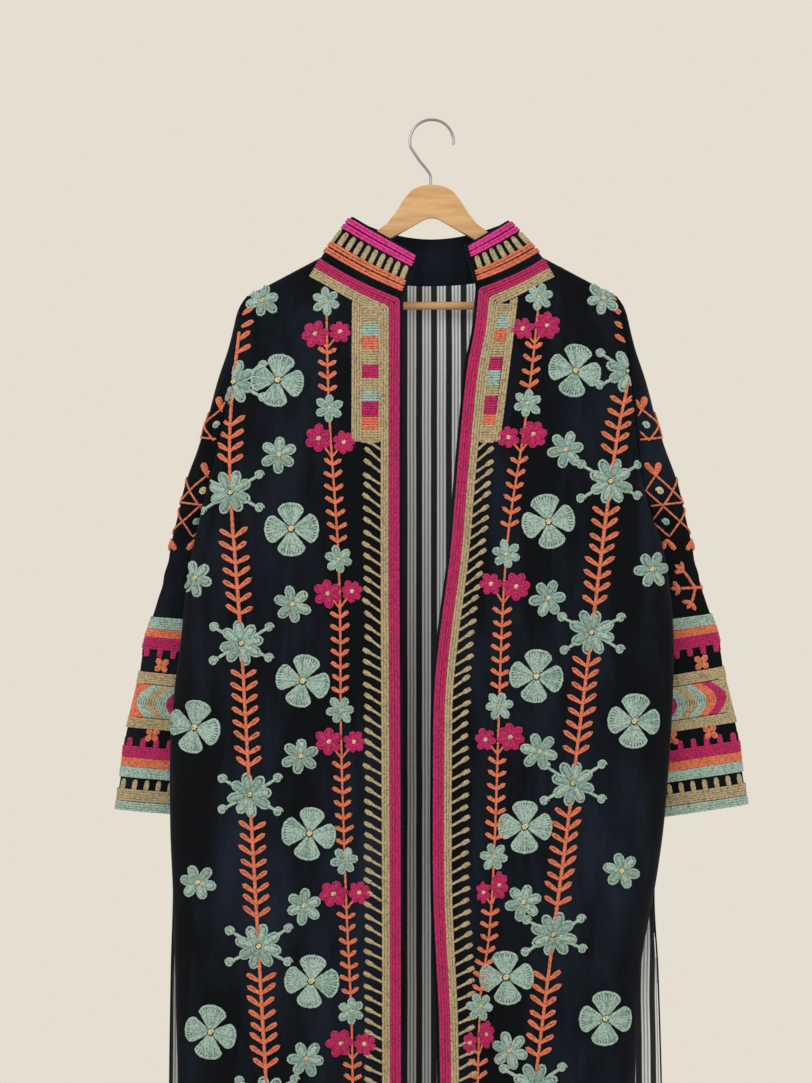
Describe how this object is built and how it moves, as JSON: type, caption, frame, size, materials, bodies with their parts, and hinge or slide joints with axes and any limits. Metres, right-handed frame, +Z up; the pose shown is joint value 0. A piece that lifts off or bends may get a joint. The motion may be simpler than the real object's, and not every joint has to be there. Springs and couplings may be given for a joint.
{
  "type": "uzbek chapan robe on a wooden hanger",
  "caption": "Long open-front velvet robe with a stand collar, straight sleeves and side slits, hanging on a wooden hanger with a wire hook.",
  "frame": {"origin": "inside top of the hanger's hook, where a rail or wall hook holds it", "axes": "+Z up, the robe's front faces -Y, +X to the right of someone looking at the front"},
  "size_m": [0.7728, 0.1096, 1.3435],
  "materials": {
    "velvet": "dark navy cotton velvet",
    "embroidery": "thick chain stitch in wool thread",
    "lining": "striped woven cotton",
    "beech": "clear satin lacquer",
    "hook_wire": "polished"
  },
  "bodies": {
    "root": {"front_left": "velvet", "front_right": "velvet", "back": "velvet", "sleeve_left": "velvet", "sleeve_right": "velvet", "collar": "velvet", "lining_back": "lining", "hanger_body": "beech", "hanger_bar": "beech", "hanger_hook": "hook_wire"}
  },
  "joints": []
}
